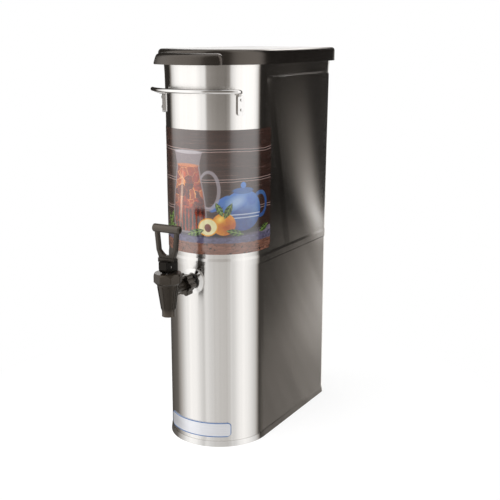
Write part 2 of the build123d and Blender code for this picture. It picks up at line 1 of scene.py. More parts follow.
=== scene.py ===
import json
import math
import bpy
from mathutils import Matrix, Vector


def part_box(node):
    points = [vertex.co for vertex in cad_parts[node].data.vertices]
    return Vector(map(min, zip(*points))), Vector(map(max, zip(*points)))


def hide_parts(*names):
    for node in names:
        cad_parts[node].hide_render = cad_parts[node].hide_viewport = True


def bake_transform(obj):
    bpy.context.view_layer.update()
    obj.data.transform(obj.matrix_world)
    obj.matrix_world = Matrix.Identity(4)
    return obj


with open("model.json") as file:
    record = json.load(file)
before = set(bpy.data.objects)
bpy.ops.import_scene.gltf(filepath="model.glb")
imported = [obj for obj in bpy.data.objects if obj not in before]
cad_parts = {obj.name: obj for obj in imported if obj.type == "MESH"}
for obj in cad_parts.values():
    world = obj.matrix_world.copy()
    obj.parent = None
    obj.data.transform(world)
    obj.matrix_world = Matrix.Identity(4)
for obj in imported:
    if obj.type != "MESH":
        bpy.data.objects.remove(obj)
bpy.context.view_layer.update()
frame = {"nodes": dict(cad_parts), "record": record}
nodes = frame["nodes"]

# Places on the object, in metres
shell_low, shell_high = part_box("vessel_shell")
decal_low, decal_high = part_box("decal_panel")
front_axis_y = shell_low.y + shell_high.x
wall_radius = decal_high.x


class Graph:
    """Builds one material's nodes; numbers and sockets mix freely as inputs."""

    def __init__(self, name):
        self.material = bpy.data.materials.new(name)
        self.material.use_nodes = True
        self.tree = self.material.node_tree
        self.tree.nodes.clear()
        self.output = self.tree.nodes.new("ShaderNodeOutputMaterial")

    def put(self, socket, value):
        if isinstance(value, bpy.types.NodeSocket):
            self.tree.links.new(value, socket)
        else:
            socket.default_value = value

    def node(self, kind, settings=None, **inputs):
        """A shader node of that kind, with its settings and its inputs given by name."""
        made = self.tree.nodes.new("ShaderNode" + kind)
        for key, value in (settings or {}).items():
            setattr(made, key, value)
        for key, value in inputs.items():
            self.put(made.inputs[key.replace("_", " ")], value)
        return made

    def math(self, operation, a, b=0.0, c=0.0, clamp=False):
        made = self.tree.nodes.new("ShaderNodeMath")
        made.operation = operation
        made.use_clamp = clamp
        for socket, value in zip(made.inputs, (a, b, c)):
            self.put(socket, value)
        return made.outputs[0]

    def add(self, a, b):
        return self.math("ADD", a, b)

    def sub(self, a, b):
        return self.math("SUBTRACT", a, b)

    def mul(self, a, b):
        return self.math("MULTIPLY", a, b)

    def least(self, a, b):
        return self.math("MINIMUM", a, b)

    def most(self, a, b):
        return self.math("MAXIMUM", a, b)

    def size(self, a):
        return self.math("ABSOLUTE", a)

    def fit(self, value, low, high, to_low=0.0, to_high=1.0):
        """The value's place between low and high, as a value between to_low and to_high."""
        made = self.node("MapRange", {"clamp": True})
        for socket, given in zip(made.inputs, (value, low, high, to_low, to_high)):
            self.put(socket, given)
        return made.outputs[0]

    def ramp(self, value, stops, interpolation="LINEAR"):
        """A colour, or grey level, along place and colour pairs."""
        made = self.node("ValToRGB", None, Fac=value)
        made.color_ramp.interpolation = interpolation
        elements = made.color_ramp.elements
        while len(elements) < len(stops):
            elements.new(0.5)
        for element, (place, _) in zip(elements, stops):
            element.position = place
        for element, (_, colour) in zip(elements, stops):
            if not hasattr(colour, "__len__"):
                colour = (colour, colour, colour)
            element.color = (*colour, 1.0)
        return made.outputs[0]

    def mix(self, share, a, b, blend="MIX"):
        made = self.tree.nodes.new("ShaderNodeMix")
        made.data_type = "RGBA"
        made.blend_type = blend
        for socket, value in zip((made.inputs[0], made.inputs[6], made.inputs[7]), (share, a, b)):
            if isinstance(value, tuple):
                value = (*value[:3], 1.0)
            self.put(socket, value)
        return made.outputs[2]

    def noise(self, vector, scale, detail=3.0, roughness=0.5, distortion=0.0):
        made = self.node("TexNoise", None, Vector=vector, Scale=scale, Detail=detail,
                         Roughness=roughness, Distortion=distortion)
        return made.outputs["Fac"]

    def place(self):
        """Object coordinates in metres, as one vector."""
        return self.node("TexCoord").outputs["Object"]

    def axes(self):
        """Object coordinates in metres, as x, y and z."""
        return self.node("SeparateXYZ", None, Vector=self.place()).outputs

    def stretched(self, scales):
        """Object coordinates, stretched along the axes."""
        made = self.node("Mapping", {"vector_type": "POINT"}, Vector=self.place())
        made.inputs["Scale"].default_value = scales
        return made.outputs[0]

    def wavering(self, vector, scale, amount, *detail):
        """A noise about zero, by its whole height."""
        return self.mul(self.sub(self.noise(vector, scale, *detail), 0.5), amount)

    def bump(self, height, distance, strength=1.0, normal=None):
        made = self.node("Bump", None, Height=height, Distance=distance, Strength=strength)
        if normal is not None:
            self.put(made.inputs["Normal"], normal)
        return made.outputs[0]

    def surface(self, **inputs):
        shader = self.node("BsdfPrincipled")
        for key, value in inputs.items():
            if isinstance(value, tuple) and len(value) == 3:
                value = (*value, 1.0)
            self.put(shader.inputs[key.replace("_", " ")], value)
        self.tree.links.new(shader.outputs[0], self.output.inputs[0])
        return self.material


def steel(name, tint, roughness, grain, anisotropy=0.95, streak=0.06, crease=None):
    """Stainless sheet: reflections stay sharp sideways and blur along the height.

    streak is the strength of upright streaks, and crease the height of a seam, under which a thin
    painted shade darkens the flat sides.
    """
    g = Graph(name)
    fine = g.noise(g.stretched(grain), 1.0, 4.0, 0.6)
    broad = g.noise(g.stretched((9.0, 9.0, 2.5)), 1.0, 2.0)
    upright = g.stretched((520.0, 520.0, 2.0))
    mottle = g.stretched((900.0, 900.0, 900.0))
    shade = g.add(g.wavering(upright, 1.0, streak, 3.0), g.mul(g.sub(broad, 0.5), 0.06))
    shade = g.add(shade, g.wavering(mottle, 1.0, 0.05, 2.0))
    darkest = tuple(c * 0.75 for c in tint)
    palest = tuple(min(1.0, c * 1.25) for c in tint)
    colour = g.mix(g.add(0.5, shade), darkest, palest)
    if crease:
        _, y, z = g.axes()
        # painted shade: a thin dark line just under the seam's hem, on the flat sides only
        painted_seam_shade = g.fit(z, crease - 0.0022, crease - 0.0008)
        on_flat = g.fit(y, front_axis_y - 0.02, front_axis_y + 0.01)
        colour = g.mix(g.mul(g.mul(painted_seam_shade, on_flat), 0.8), colour, (0.02, 0.018, 0.015))
    rough = g.add(roughness, g.mul(g.sub(fine, 0.5), roughness * 0.6))
    rough = g.add(rough, g.mul(g.sub(broad, 0.5), 0.04))
    upright_grain = g.node("Tangent", {"direction_type": "RADIAL", "axis": "Z"}).outputs[0]
    return g.surface(
        Base_Color=colour, Metallic=1.0, Roughness=rough, Anisotropic=anisotropy,
        Anisotropic_Rotation=0.25, Tangent=upright_grain, Normal=g.bump(fine, 0.00002, 0.25))


def polished(name, tint, roughness):
    """Bright polished steel with faint wipe marks."""
    g = Graph(name)
    wipes = g.noise(g.stretched((60.0, 60.0, 240.0)), 1.0, 4.0, 0.6, 0.4)
    dust = g.noise(g.stretched((700.0, 700.0, 700.0)), 1.0, 2.0)
    colour = g.mix(wipes, tuple(c * 0.93 for c in tint), tint)
    rough = g.add(roughness, g.mul(g.sub(wipes, 0.5), roughness * 0.8))
    return g.surface(Base_Color=colour, Metallic=1.0, Roughness=rough,
                     Normal=g.bump(dust, 0.00002, 0.15))


warm_sheen = (1.0, 0.88, 0.77)


def moulded(name, tint, roughness, grain_depth, wear, shine=0.5, light_and_sheen_by_height=()):
    """Moulded black plastic: fine texture, uneven sheen and slightly paler rubbed edges.

    The height triples give height, tint share and sheen share, for a piece that differs along its
    height;
    the tint shares paint light and shade along it.
    """
    g = Graph(name)
    fine = g.noise(g.stretched((1400.0, 1400.0, 1400.0)), 1.0, 3.0, 0.6)
    broad = g.noise(g.stretched((35.0, 35.0, 35.0)), 1.0, 3.0)
    pointy = g.node("NewGeometry").outputs["Pointiness"]
    rubbed = g.mul(g.fit(pointy, 0.52, 0.62), g.mul(broad, wear))
    colour = g.mix(broad, tuple(c * 0.8 for c in tint), tuple(c * 1.2 for c in tint))
    colour = g.mix(rubbed, colour, tuple(c * 2.6 + 0.01 for c in tint))
    if light_and_sheen_by_height:
        low, high = light_and_sheen_by_height[0][0], light_and_sheen_by_height[-1][0]
        along = g.fit(g.axes()[2], low, high)
        painted_light_shares = [((h - low) / (high - low), share) for h, share, _ in light_and_sheen_by_height]
        sheens = [((h - low) / (high - low), sheen) for h, _, sheen in light_and_sheen_by_height]
        # painted light and shade: the tint shares make the piece paler and darker along its height
        colour = g.mix(1.0, colour, g.ramp(along, painted_light_shares), "MULTIPLY")
        shine = g.mul(g.ramp(along, sheens), shine)
    rough = g.add(roughness, g.add(g.mul(g.sub(broad, 0.5), 0.05), g.mul(g.sub(fine, 0.5), 0.06)))
    return g.surface(Base_Color=colour, Roughness=rough, Specular_IOR_Level=shine,
                     Specular_Tint=warm_sheen, Normal=g.bump(fine, grain_depth, 0.5))


def soft_rubber(name, tint, roughness):
    """Rubber or silicone: dull, with a dusty bloom."""
    g = Graph(name)
    bloom = g.noise(g.stretched((180.0, 180.0, 180.0)), 1.0, 4.0, 0.6)
    colour = g.mix(bloom, tint, tuple(c * 1.35 + 0.01 for c in tint))
    rough = g.add(roughness, g.mul(g.sub(bloom, 0.5), 0.2))
    return g.surface(Base_Color=colour, Roughness=rough, Specular_IOR_Level=0.35,
                     Normal=g.bump(bloom, 0.00006, 0.4))


def srgb(red, green, blue):
    """A display colour from 0 to 255 as linear values."""
    def linear(value):
        value /= 255
        return value / 12.92 if value <= 0.04045 else ((value + 0.055) / 1.055) ** 2.4
    return linear(red), linear(green), linear(blue)


class Print(Graph):
    """The decal's picture, drawn in millimetres along the wall (u) and up from its foot (v)."""

    def __init__(self, name):
        super().__init__(name)
        x, y, z = self.axes()
        behind_axis = self.sub(y, front_axis_y)
        angle = self.math("ARCTAN2", x, self.mul(self.least(behind_axis, 0.0), -1.0))
        round_part = self.mul(angle, wall_radius * 1000)
        flat_part = self.mul(self.math("SIGN", x), self.mul(self.most(behind_axis, 0.0), 1000.0))
        self.u = self.add(round_part, flat_part)
        self.v = self.mul(self.sub(z, decal_low.z), 1000.0)
        self.plane = self.node("CombineXYZ", None, X=self.u, Y=self.v, Z=0.0).outputs[0]
        self.colour = None

    def texture(self, scale_u, scale_v, detail=3.0, roughness=0.55, distortion=0.0, offset=0.0):
        """Noise on the print; offset gives each use its own part of the noise."""
        made = self.node("Mapping", {"vector_type": "POINT"}, Vector=self.plane)
        made.inputs["Scale"].default_value = (scale_u, scale_v, 1.0)
        made.inputs["Location"].default_value = (offset, offset, offset)
        return self.noise(made.outputs[0], 1.0, detail, roughness, distortion)

    def local(self, u, v, turn):
        """Coordinates about a point, turned by an angle in degrees."""
        du, dv = self.sub(self.u, u), self.sub(self.v, v)
        if turn == 0:
            return du, dv
        c, s = math.cos(math.radians(turn)), math.sin(math.radians(turn))
        along = self.add(self.mul(du, c), self.mul(dv, s))
        across = self.sub(self.mul(dv, c), self.mul(du, s))
        return along, across

    def edge(self, distance, soft=0.5):
        """A mask from a distance inside a shape, in millimetres."""
        return self.math("MULTIPLY_ADD", distance, 0.5 / soft, 0.5, clamp=True)

    def line(self, distance, half_width, soft):
        """A mask along the places where a distance is zero."""
        return self.edge(self.sub(half_width, self.size(distance)), soft)

    def ellipse(self, u, v, half_u, half_v, turn=0.0, soft=0.5):
        a, b = self.local(u, v, turn)
        a, b = self.mul(a, 1 / half_u), self.mul(b, 1 / half_v)
        radius = self.math("SQRT", self.add(self.mul(a, a), self.mul(b, b)))
        return self.edge(self.mul(self.sub(1.0, radius), min(half_u, half_v)), soft)

    def profile(self, u, low, high, half_widths):
        """An upright shape whose half width follows the height."""
        height = self.fit(self.v, low, high)
        widest = max(width for _, width in half_widths)
        stops = [(place, width / widest) for place, width in half_widths]
        half_width = self.mul(self.ramp(height, stops, "B_SPLINE"), widest)
        inside = self.sub(half_width, self.size(self.sub(self.u, u)))
        end = self.least(self.sub(self.v, low), self.sub(high, self.v))
        return self.edge(self.least(inside, end))

    def lay(self, mask, colour, share=1.0):
        """Paints a colour over the picture where the mask says, at a share of full strength."""
        if share != 1.0:
            mask = self.mul(mask, share)
        self.colour = self.mix(mask, self.colour, colour)

    def ice(self, within):
        """Lumps of ice under the tea: uneven facets, each of its own brightness, with pale rims."""
        bent = self.node("TexNoise", None, Vector=self.plane, Scale=0.09, Detail=2.0).outputs["Color"]
        place = self.node("VectorMath", {"operation": "MULTIPLY_ADD"}, Vector=bent)
        place.inputs[1].default_value = (9.0, 9.0, 0.0)
        self.tree.links.new(self.plane, place.inputs[2])
        lumps = {"Vector": place.outputs[0], "Scale": 0.085, "Randomness": 0.85}
        settings = {"feature": "F1", "distance": "MINKOWSKI"}
        cells = self.node("TexVoronoi", settings, Exponent=3.0, **lumps)
        tone = self.node("SeparateColor", None, Color=cells.outputs["Color"]).outputs[0]
        self.lay(self.mul(within, self.fit(tone, 0.45, 0.95, 0.0, 0.7)), srgb(236, 160, 84))
        self.lay(self.mul(within, self.fit(tone, 0.4, 0.05, 0.0, 0.6)), srgb(72, 16, 8))
        borders = self.node("TexVoronoi", {"feature": "DISTANCE_TO_EDGE"}, **lumps)
        rim = self.fit(borders.outputs["Distance"], 0.07, 0.03)
        rim = self.mul(rim, self.fit(tone, 0.2, 0.7, 0.1, 0.7))
        self.lay(self.mul(within, rim), srgb(252, 208, 150))

    def leaf(self, u, v, length, width, turn, shade):
        """A pointed leaf with a pale midrib and darker veins."""
        a, b = self.local(u, v, turn)
        a = self.mul(a, 2 / length)
        room = self.mul(self.sub(1.0, self.mul(a, a)), width / 2)
        mask = self.edge(self.sub(room, self.size(b)))
        vein = self.math("SINE", self.add(self.mul(a, 13.0), self.mul(self.size(b), 0.9)))
        green = self.mix(self.fit(vein, -1.0, 1.0), srgb(70, 98, 42), srgb(150, 178, 96))
        green = self.mix(shade, green, srgb(38, 58, 26))
        rib = self.line(b, 0.45, 0.4)
        self.lay(mask, self.mix(self.mul(rib, 0.7), green, srgb(196, 210, 150)))


def draw_boards(g):
    """Dark boards behind the still life."""
    boards = g.texture(0.012, 0.35, 5.0, 0.6, 0.3)
    g.colour = g.mix(boards, srgb(52, 34, 30), srgb(132, 100, 88))
    scratch = g.texture(0.02, 0.9, 4.0, 0.7, 0.8, 3.0)
    g.lay(g.fit(scratch, 0.6, 0.72, 0.0, 0.7), srgb(190, 168, 164))
    bend = g.mul(g.sub(g.texture(0.02, 0.01, 2.0), 0.5), 5.0)
    for joint in (62.0, 101.0, 141.0):
        away = g.size(g.add(g.sub(g.v, joint), bend))
        g.lay(g.line(away, 0.7, 0.6), srgb(20, 11, 9))
        g.lay(g.line(g.sub(away, 1.6), 0.5, 0.5), srgb(214, 194, 190), 0.8)


def draw_slab(g):
    """The stone slab that the things stand on, and the rough timber under it."""
    ragged = g.mul(g.sub(g.texture(0.16, 0.08, 4.0), 0.5), 3.2)
    timber = g.mix(g.texture(0.05, 0.28, 5.0, 0.65, 1.2), srgb(98, 64, 50), srgb(212, 166, 146))
    knots = g.texture(0.09, 0.14, 4.0, 0.6, 2.0, 7.0)
    timber = g.mix(g.fit(knots, 0.55, 0.7), timber, srgb(58, 36, 30))
    g.lay(g.edge(g.sub(18.0, g.v)), timber)
    top = g.edge(g.least(g.sub(33.0, g.v), g.sub(g.v, 24.0)), 0.8)
    face = g.edge(g.least(g.sub(26.0, g.v), g.add(g.sub(g.v, 15.5), ragged)), 0.8)
    stone = g.texture(0.14, 0.3, 5.0, 0.7, 0.5, 5.0)
    g.lay(top, g.mix(stone, srgb(126, 116, 134), srgb(206, 196, 212)))
    g.lay(face, g.mix(stone, srgb(74, 66, 84), srgb(176, 172, 200)))


def draw_pot(g):
    """A blue pot with its lid, spout and ear, right of the middle."""
    u, v = 74.0, 60.0
    ear_u, ear_v = 104.0, 66.0
    deep_blue = srgb(30, 50, 90)
    g.lay(g.ellipse(u, 31.0, 34.0, 4.0, 0.0, 3.0), srgb(40, 36, 44))
    ear = g.mul(g.ellipse(ear_u, ear_v, 17.0, 19.0), g.sub(1.0, g.ellipse(ear_u, ear_v, 11.5, 13.5)))
    blue = g.mix(g.fit(g.v, 32.0, 98.0), srgb(58, 104, 178), srgb(120, 168, 226))
    glaze = g.texture(0.05, 0.05, 3.0, 0.5, 0.5, 2.0)
    blue = g.mix(g.fit(glaze, 0.4, 0.65, 0.0, 0.6), blue, srgb(146, 182, 218))
    g.lay(ear, g.mix(0.25, blue, deep_blue))
    g.lay(g.ellipse(41.0, 70.0, 17.0, 5.5, 38.0), blue)
    g.lay(g.ellipse(u, v, 30.0, 28.0), blue)
    g.lay(g.ellipse(68.0, 46.0, 27.0, 16.0, 0.0, 7.0), srgb(30, 52, 100), 0.35)
    g.lay(g.ellipse(64.0, 72.0, 12.0, 7.0, 24.0, 4.0), srgb(206, 222, 240), 0.7)
    inside = g.mul(g.ellipse(u, v, 29.5, 27.5), 0.85)
    for height in (50.0, 54.5):
        g.lay(g.mul(g.line(g.sub(g.v, height), 0.7, 0.4), inside), srgb(226, 232, 240))
    g.lay(g.ellipse(u, 87.0, 16.0, 4.5), g.mix(0.3, blue, deep_blue))
    g.lay(g.ellipse(u, 94.5, 4.2, 4.2), blue)


def tea_colour(g):
    """Amber tea: darker at the foot, with swirls, and fluted glass round its lower part."""
    swirl = g.texture(0.06, 0.05, 4.0, 0.6, 1.8, 9.0)
    dark_swirl = g.texture(0.09, 0.04, 4.0, 0.6, 1.2, 31.0)
    tea = g.ramp(g.fit(g.v, 30.0, 122.0), [
        (0.0, srgb(58, 14, 8)), (0.25, srgb(112, 30, 12)), (0.55, srgb(150, 50, 16)),
        (0.8, srgb(170, 72, 22)), (1.0, srgb(196, 112, 48))])
    tea = g.mix(g.fit(swirl, 0.46, 0.7), tea, srgb(224, 112, 30))
    tea = g.mix(g.fit(dark_swirl, 0.52, 0.72, 0.0, 0.7), tea, srgb(58, 12, 10))
    flutes = g.math("SINE", g.mul(g.u, 1.05))
    low_part = g.mul(g.fit(g.v, 70.0, 52.0), 0.5)
    tea = g.mix(g.mul(g.fit(flutes, 0.2, 1.0), low_part), tea, srgb(232, 132, 66))
    return g.mix(g.mul(g.fit(flutes, -0.2, -1.0), low_part), tea, srgb(50, 10, 10))


def draw_jug(g):
    """A glass jug of tea with ice, left of the middle."""
    u, low, high = -6.0, 28.0, 140.0
    tea_low, tea_high = 31.0, 121.0
    glass_thickness = 2.2
    shape = ((0.0, 24.0), (0.12, 30.0), (0.45, 27.0), (0.75, 19.0), (0.88, 19.0), (1.0, 24.0))
    inner_shape = tuple((place, width - glass_thickness) for place, width in shape)
    g.lay(g.ellipse(u, 30.0, 34.0, 4.0, 0.0, 3.0), srgb(44, 34, 38))
    handle = g.mul(g.ellipse(26.0, 88.0, 16.0, 27.0), g.sub(1.0, g.ellipse(25.0, 88.0, 12.0, 22.5)))
    g.lay(handle, srgb(196, 190, 196), 0.75)
    g.lay(g.profile(u, low, high, shape), srgb(178, 168, 172), 0.8)
    bowl = g.profile(u, tea_low, high, inner_shape)
    filled = g.mul(bowl, g.edge(g.sub(tea_high, g.v)))
    g.lay(filled, tea_colour(g))
    g.ice(g.mul(filled, g.fit(g.v, 60.0, 84.0)))
    side_dark = g.fit(g.size(g.sub(g.u, u)), 12.0, 27.0, 0.0, 0.5)
    g.lay(g.mul(filled, side_dark), srgb(66, 18, 10))
    g.lay(g.ellipse(-17.0, 74.0, 2.2, 34.0, -5.0, 1.2), srgb(250, 226, 206), 0.6)
    g.lay(g.ellipse(u, 139.0, 23.0, 2.6), srgb(214, 208, 212), 0.8)
    g.lay(g.ellipse(u, tea_high, 17.5, 2.4), srgb(226, 158, 108), 0.8)
    beads = g.node("TexVoronoi", {"feature": "F1"}, Vector=g.plane, Scale=0.42).outputs["Distance"]
    g.lay(g.mul(bowl, g.fit(beads, 0.16, 0.1)), srgb(255, 238, 220), 0.35)


def draw_peaches(g):
    """One peach whole and one cut, in front."""
    whole_u, whole_v = 46.0, 42.0
    cut_u, cut_v, cut_turn = 24.0, 38.0, 12.0
    g.lay(g.ellipse(38.0, 27.0, 30.0, 3.0, 0.0, 2.0), srgb(52, 44, 54))
    flesh = g.texture(0.12, 0.12, 3.0, 0.5, 0.6, 4.0)
    skin = g.mix(flesh, srgb(214, 120, 20), srgb(250, 206, 40))
    pale_flesh = g.mix(flesh, srgb(232, 226, 178), srgb(250, 244, 214))
    stone = g.mix(flesh, srgb(120, 60, 30), srgb(176, 96, 56))
    g.lay(g.ellipse(whole_u, whole_v, 16.5, 15.5), skin)
    g.lay(g.ellipse(52.0, 36.0, 11.0, 9.0, 20.0, 5.0), srgb(176, 74, 20), 0.5)
    g.lay(g.ellipse(41.0, 49.0, 5.0, 3.6, 30.0, 3.0), srgb(255, 240, 150), 0.8)
    g.lay(g.ellipse(cut_u, cut_v, 14.0, 12.5, cut_turn), srgb(240, 186, 60))
    g.lay(g.ellipse(cut_u, cut_v, 12.4, 10.9, cut_turn), pale_flesh)
    g.lay(g.ellipse(cut_u, 37.0, 4.6, 5.6, cut_turn), stone)


# Each tea leaf: place along and up, length and width in millimetres, turn in degrees, shade
leaves = (
    (52.0, 60.0, 24.0, 9.0, 62.0, 0.3), (62.0, 30.0, 26.0, 9.0, -14.0, 0.35),
    (40.0, 62.0, 22.0, 8.0, 118.0, 0.1), (6.0, 30.0, 26.0, 9.5, 18.0, 0.2),
    (-34.0, 33.0, 24.0, 9.0, 155.0, 0.1), (-46.0, 40.0, 26.0, 10.0, 112.0, 0.3),
    (-52.0, 30.0, 24.0, 9.0, 176.0, 0.0), (-40.0, 46.0, 22.0, 8.0, 64.0, 0.15),
    (114.0, 32.0, 24.0, 9.0, 20.0, 0.2))


def printed_panel():
    """The decal: a jug of tea, a blue pot, peaches and tea leaves on a slab, under clear gloss."""
    g = Print("decal_print_look")
    draw_boards(g)
    draw_slab(g)
    draw_pot(g)
    draw_jug(g)
    draw_peaches(g)
    for leaf in leaves:
        g.leaf(*leaf)
    paper = g.texture(0.9, 0.9, 2.0)
    deep = g.node("Gamma", None, Color=g.colour, Gamma=1.55).outputs[0]
    return g.surface(
        Base_Color=deep, Roughness=g.add(0.16, g.mul(paper, 0.08)), Specular_IOR_Level=1.0,
        Coat_Weight=1.0, Coat_IOR=1.7, Coat_Roughness=0.08, Normal=g.bump(paper, 0.00003, 0.2))


def badge_look():
    """Bare silvery plate with a thin blue line inside its edge."""
    line_inset = 0.0007
    line_half_width = 0.00062
    line_corner = 0.0048
    line_sharpness = 4000.0
    g = Graph("badge_silver_look")
    low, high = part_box("badge_plate")
    x, y, z = g.axes()
    angle = g.math("ARCTAN2", x, g.mul(g.sub(y, front_axis_y), -1.0))
    radius = math.hypot(high.x, high.y - front_axis_y)
    half_u = radius * math.asin(min(1.0, high.x / radius)) - line_inset
    half_v = (high.z - low.z) / 2 - line_inset
    du = g.sub(g.size(g.mul(angle, radius)), half_u - line_corner)
    dv = g.sub(g.size(g.sub(z, (low.z + high.z) / 2)), half_v - line_corner)
    corner_u, corner_v = g.most(du, 0.0), g.most(dv, 0.0)
    outside = g.math("SQRT", g.add(g.mul(corner_u, corner_u), g.mul(corner_v, corner_v)))
    inside = g.least(g.most(du, dv), 0.0)
    distance = g.sub(g.add(outside, inside), line_corner)
    within = g.sub(line_half_width, g.size(distance))
    line = g.math("MULTIPLY_ADD", within, line_sharpness, 0.5, clamp=True)
    satin = g.noise(g.stretched((40.0, 40.0, 900.0)), 1.0, 3.0)
    ground = g.mix(satin, srgb(222, 224, 230), srgb(240, 241, 245))
    colour = g.mix(line, ground, srgb(36, 104, 172))
    metal = g.mul(g.sub(1.0, line), 0.6)
    return g.surface(Base_Color=colour, Metallic=metal, Roughness=g.add(0.28, g.mul(satin, 0.14)),
                     Normal=g.bump(satin, 0.00002, 0.2))


sheet_steel = {"tint": (0.77, 0.755, 0.735), "roughness": 0.17, "grain": (30.0, 30.0, 2600.0)}
looks = {
    "shell_steel": steel("shell_steel_look", **sheet_steel),
    "skirt_steel": steel("skirt_steel_look", crease=shell_low.z, **sheet_steel),
    "inner_steel": steel("inner_steel_look", (0.66, 0.655, 0.645), 0.3, (60.0, 60.0, 1200.0)),
    "strap_steel": steel("strap_steel_look", (0.76, 0.75, 0.74), 0.24, (50.0, 50.0, 1800.0), 0.4),
    "valve_steel": steel("valve_steel_look", (0.68, 0.67, 0.66), 0.25, (40.0, 40.0, 3000.0), 0.3),
    "bright_trim": polished("bright_trim_look", (0.8, 0.79, 0.775), 0.12),
    "bright_wire": polished("bright_wire_look", (0.8, 0.785, 0.77), 0.08),
    "lid_black": moulded("lid_black_look", (0.0095, 0.008, 0.0068), 0.24, 0.00002, 0.3, shine=1.0),
    # painted light and shade along the height: a paler spout and bonnet top on the tap, a near-black
    # foot and pale grip bar on the handle
    "tap_black": moulded(
        "tap_black_look", (0.0165, 0.0128, 0.009), 0.28, 0.00002, 0.5, light_and_sheen_by_height=(
            (0.207, 2.4, 1.5), (0.215, 1.8, 1.2), (0.219, 1.0, 0.8), (0.249, 1.0, 0.85),
            (0.2535, 1.1, 1.0), (0.268, 1.3, 1.2))),
    "handle_black": moulded(
        "handle_black_look", (0.029, 0.0245, 0.0195), 0.3, 0.00002, 0.5, light_and_sheen_by_height=(
            (0.268, 0.12, 0.3), (0.283, 0.15, 0.35), (0.286, 0.5, 0.8), (0.3, 0.9, 1.0),
            (0.32, 1.2, 1.1), (0.328, 1.9, 1.4), (0.345, 1.9, 1.4))),
    "fitting_black": moulded(
        "fitting_black_look", (0.0045, 0.0035, 0.0028), 0.13, 0.00001, 0.3, shine=0.8),
    "seal_rubber": soft_rubber("seal_rubber_look", (0.02, 0.02, 0.02), 0.7),
    "cup_rubber": soft_rubber("cup_rubber_look", (0.55, 0.53, 0.5), 0.5),
    "decal_print": printed_panel(),
    "badge_silver": badge_look(),
}
slot_of = {part["node"]: part["material_slot"] for part in frame["record"]["subparts"]}
for name, piece in nodes.items():
    piece.data.materials.clear()
    piece.data.materials.append(looks[slot_of[name]])

# The return spring between the bonnet and the stem, as an object of its own with its place baked in;
# the imported part is hidden
spring = bpy.data.objects.new("return_spring", nodes["valve_spring"].data.copy())
bpy.context.scene.collection.objects.link(spring)
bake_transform(spring)
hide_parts("valve_spring")


# Stage: floor, and a ring of studio walls that only reflections see
plain_white = (1.0, 1.0, 1.0, 1.0)
floor_reach = 6.0
wall_reach = 0.36
wall_top = 1.3
wall_foot = -0.6
wall_centre_y = 0.033
wall_steps = 144


def flat_mesh(name, points, faces):
    mesh = bpy.data.meshes.new(name)
    mesh.from_pydata(points, [], faces)
    made = bpy.data.objects.new(name, mesh)
    bpy.context.scene.collection.objects.link(made)
    return made


def bands(g, degrees, *stops):
    """Brightness by compass angle about the object, from angle and brightness pairs."""
    turn = g.fit(degrees, -180.0, 180.0)
    return g.ramp(turn, [((angle + 180) / 360, value) for angle, value in stops])


def compass(g, x, y):
    """The angle about the object's middle in degrees, 0 at the front and + towards +X."""
    return g.mul(g.math("ARCTAN2", x, g.mul(g.sub(y, wall_centre_y), -1.0)), 180 / math.pi)


def warm_light(g, level):
    """Dim reflections are a little warmer than bright ones."""
    colour = g.mix(g.fit(level, 0.02, 0.8), (1.0, 0.9, 0.8), (1.0, 0.99, 0.98))
    return g.node("Emission", None, Color=colour, Strength=level).outputs[0]


def floor_look():
    """Pale floor, lifted to white for the camera, with the object's soft shadow."""
    camera_lift = 0.4
    shadow_reach = (0.2, 0.45)
    near_white, far_white = 0.55, 1.0
    g = Graph("floor_look")
    x, y, _ = g.axes()
    speck = g.noise(g.stretched((8.0, 8.0, 8.0)), 1.0, 3.0)
    colour = g.mix(speck, (0.86, 0.86, 0.86), (0.88, 0.88, 0.88))
    matt = g.node("BsdfDiffuse", None, Color=colour).outputs[0]
    radius = g.math("SQRT", g.add(g.mul(x, x), g.mul(y, y)))
    seen = g.node("LightPath").outputs["Is Camera Ray"]
    lift = g.node("Emission", None, Color=plain_white, Strength=g.mul(seen, camera_lift)).outputs[0]
    near = g.node("AddShader", None)
    g.tree.links.new(matt, near.inputs[0])
    g.tree.links.new(lift, near.inputs[1])
    white = g.node("Emission", None, Color=plain_white, Strength=1.0).outputs[0]
    fade = g.mul(seen, g.fit(radius, *shadow_reach, near_white, far_white))
    faded = g.node("MixShader", None, Fac=fade)
    g.tree.links.new(near.outputs[0], faded.inputs[1])
    g.tree.links.new(white, faded.inputs[2])
    g.tree.links.new(faded.outputs[0], g.output.inputs[0])
    return g.material


floor_corners = [(x * floor_reach, y * floor_reach, 0) for x, y in ((-1, -1), (1, -1), (1, 1), (-1, 1))]
floor = flat_mesh("stage_floor", floor_corners, [(0, 1, 2, 3)])
floor.data.materials.append(floor_look())
floor.visible_glossy = False


def upper_glow(g, degrees, z):
    """A soft slanted glow for the upper side, sharper on its rear edge and fading upwards."""
    foot, foot_angle = 0.245, 152.0
    lean, bend = 15.1, 0.6
    sharp_width, soft_width, widening = 1.7, 0.7, 18.0
    strength, fading = 0.82, -12.0
    above = g.most(g.sub(z, foot), 0.0)
    centre = g.sub(foot_angle, g.mul(lean, g.math("POWER", above, bend)))
    offset = g.sub(degrees, centre)
    ahead = g.math("LESS_THAN", offset, 0.0)
    wider = g.mul(ahead, g.add(soft_width, g.mul(above, widening)))
    away = g.math("DIVIDE", offset, g.add(sharp_width, wider))
    glow = g.math("EXPONENT", g.mul(g.mul(away, away), -1.0))
    glow = g.mul(g.mul(glow, strength), g.math("EXPONENT", g.mul(above, fading)))
    glow = g.mul(glow, g.fit(z, 0.42, 0.5, 1.0, 0.45))
    return g.mul(glow, g.fit(z, 0.2, 0.25))


